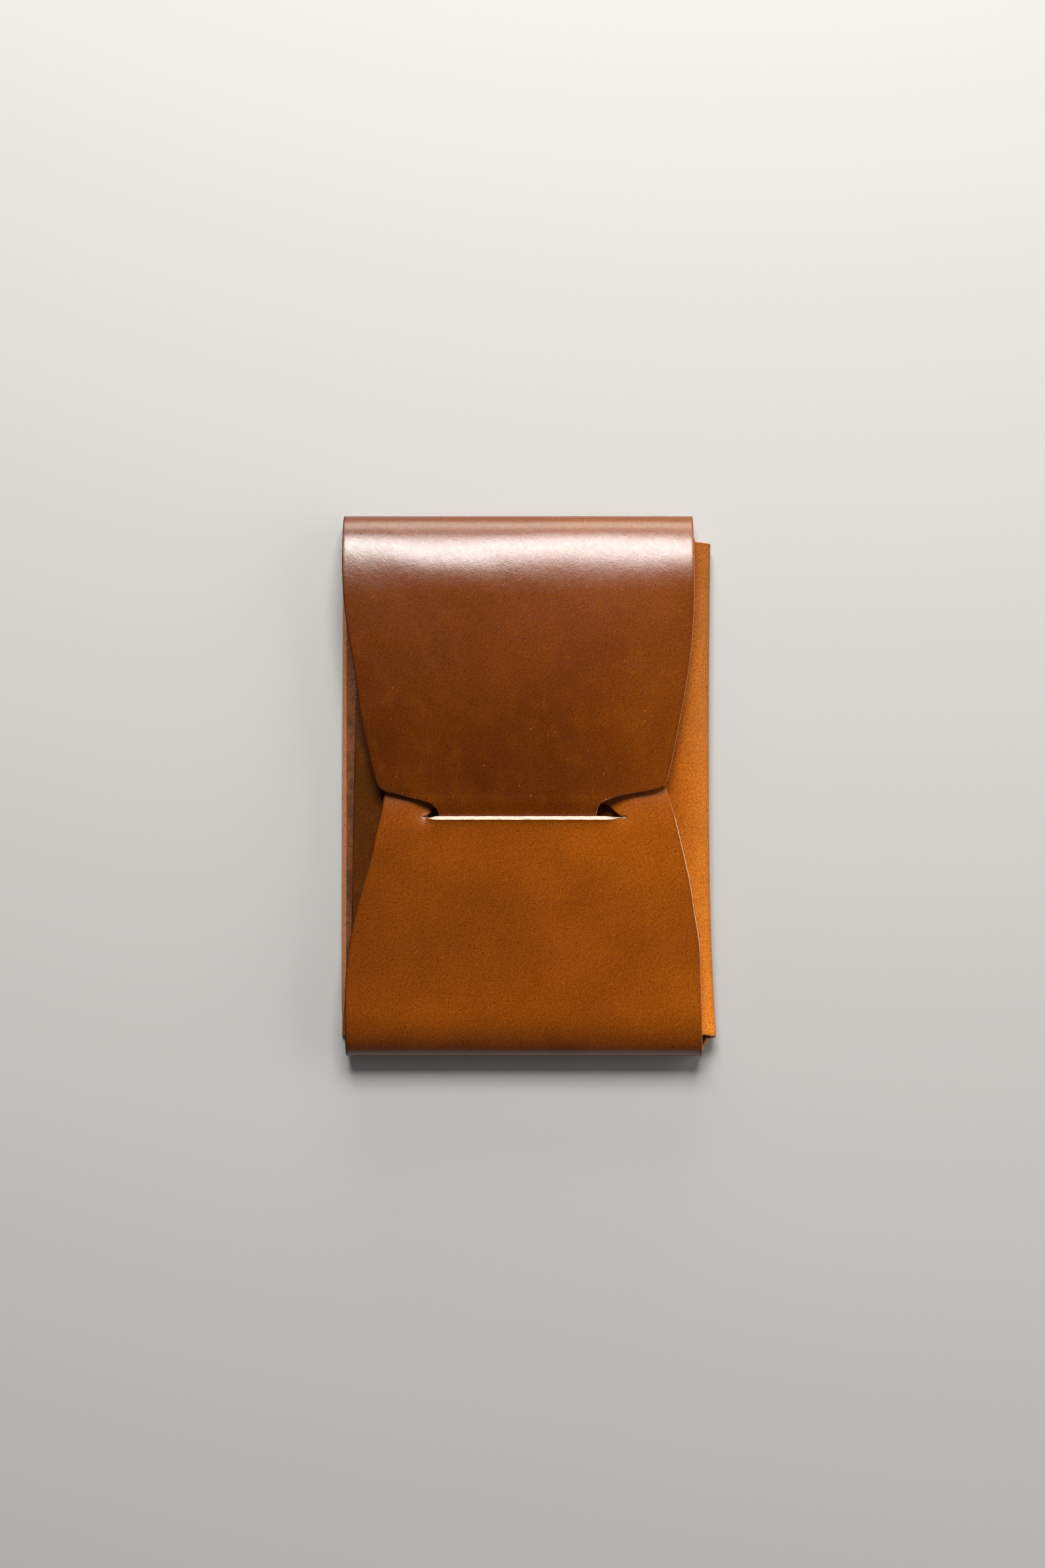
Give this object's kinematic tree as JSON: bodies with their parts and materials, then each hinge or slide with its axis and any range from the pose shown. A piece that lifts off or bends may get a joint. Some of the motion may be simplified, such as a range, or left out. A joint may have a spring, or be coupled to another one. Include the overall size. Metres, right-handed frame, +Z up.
{
  "type": "card holder",
  "caption": "Stitch-free card holder folded from one leather sheet: a side wing over the cards, two end flaps and a tucked closing tab.",
  "frame": {"origin": "under the middle of the holder's bounding box, on the surface it lies on", "axes": "+X from the free left edge to the side fold, +Y towards the top fold, +Z up out of the back panel"},
  "size_m": [0.0702, 0.1016, 0.0104],
  "materials": {
    "leather": "polished, glazed tan with raw cut edges"
  },
  "bodies": {
    "back": {"back_panel": "leather", "side_fold": "leather"},
    "side_wing": {"side_wing": "leather"},
    "top_fold": {"top_fold": "leather"},
    "top_flap": {"top_flap": "leather", "closure_tab": "leather"},
    "bottom_fold": {"bottom_fold": "leather"},
    "bottom_flap": {"bottom_flap": "leather"}
  },
  "joints": [
    {"name": "top_fold_turn", "type": "hinge", "parent": "back", "child": "top_fold", "pos_m": [0, 0.04963, 0.00145], "axis": [-1, 0, 0], "range_deg": [0, 75], "deforming": ["top_fold"]},
    {"name": "top_flap_turn", "type": "hinge", "parent": "top_fold", "child": "top_flap", "pos_m": [0, 0.04963, 0.00675], "axis": [-1, 0, 0], "range_deg": [0, 75], "deforming": ["closure_tab"]},
    {"name": "bottom_fold_turn", "type": "hinge", "parent": "back", "child": "bottom_fold", "pos_m": [0, -0.04963, 0.00145], "axis": [1, 0, 0], "range_deg": [0, 60], "deforming": ["bottom_fold"]},
    {"name": "bottom_flap_turn", "type": "hinge", "parent": "bottom_fold", "child": "bottom_flap", "pos_m": [0, -0.04963, 0.00675], "axis": [1, 0, 0], "range_deg": [0, 60]},
    {"name": "side_wing_flex", "type": "hinge", "parent": "back", "child": "side_wing", "pos_m": [0.0317, 0, 0.0034], "axis": [0, 1, 0], "range_deg": [-3.5, 0], "stiffness_Nm_per_rad": 0.15, "springref_deg": 1.15}
  ],
  "couplings": [
    {"joint": "top_flap_turn", "follows": "top_fold_turn", "ratio": 1},
    {"joint": "bottom_fold_turn", "follows": "top_fold_turn", "ratio": 0.8},
    {"joint": "bottom_flap_turn", "follows": "top_fold_turn", "ratio": 0.8}
  ]
}
